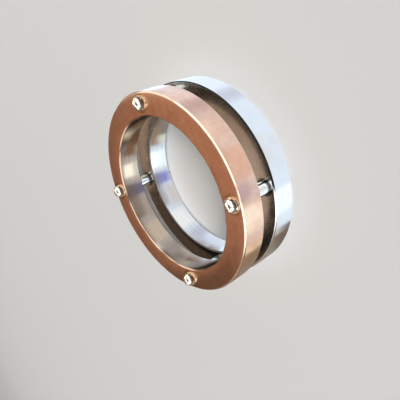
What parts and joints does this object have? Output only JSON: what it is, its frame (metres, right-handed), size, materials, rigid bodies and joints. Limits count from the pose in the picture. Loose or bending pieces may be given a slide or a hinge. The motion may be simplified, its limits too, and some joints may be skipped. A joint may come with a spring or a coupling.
{
  "type": "two-tone statement ring",
  "caption": "Wide finger ring of two flat-sided hoops, rose-plated and steel, held apart by round posts and domed screws.",
  "frame": {"origin": "on the axis of the finger bore, at the height of the lowest screw heads, which the ring rests on", "axes": "+Z along the finger bore from the steel hoop to the rose hoop, +X through the first post, +Y through the second"},
  "size_m": [0.0254, 0.0254, 0.0098],
  "materials": {
    "rose_gold": "polished rose-gold plating with fine wear, bore in brushed steel",
    "polished_steel": "polished stainless steel, bore brushed around its axis",
    "post_steel": "polished steel turned smooth",
    "screw_steel": "mirror-polished steel dome"
  },
  "bodies": {
    "root": {"steel_hoop": "polished_steel", "rose_hoop": "rose_gold", "post_1": "post_steel", "post_2": "post_steel", "post_3": "post_steel", "post_4": "post_steel", "steel_screw_1": "screw_steel", "steel_screw_2": "screw_steel", "steel_screw_3": "screw_steel", "steel_screw_4": "screw_steel", "rose_screw_1": "screw_steel", "rose_screw_2": "screw_steel", "rose_screw_3": "screw_steel", "rose_screw_4": "screw_steel"}
  },
  "joints": []
}
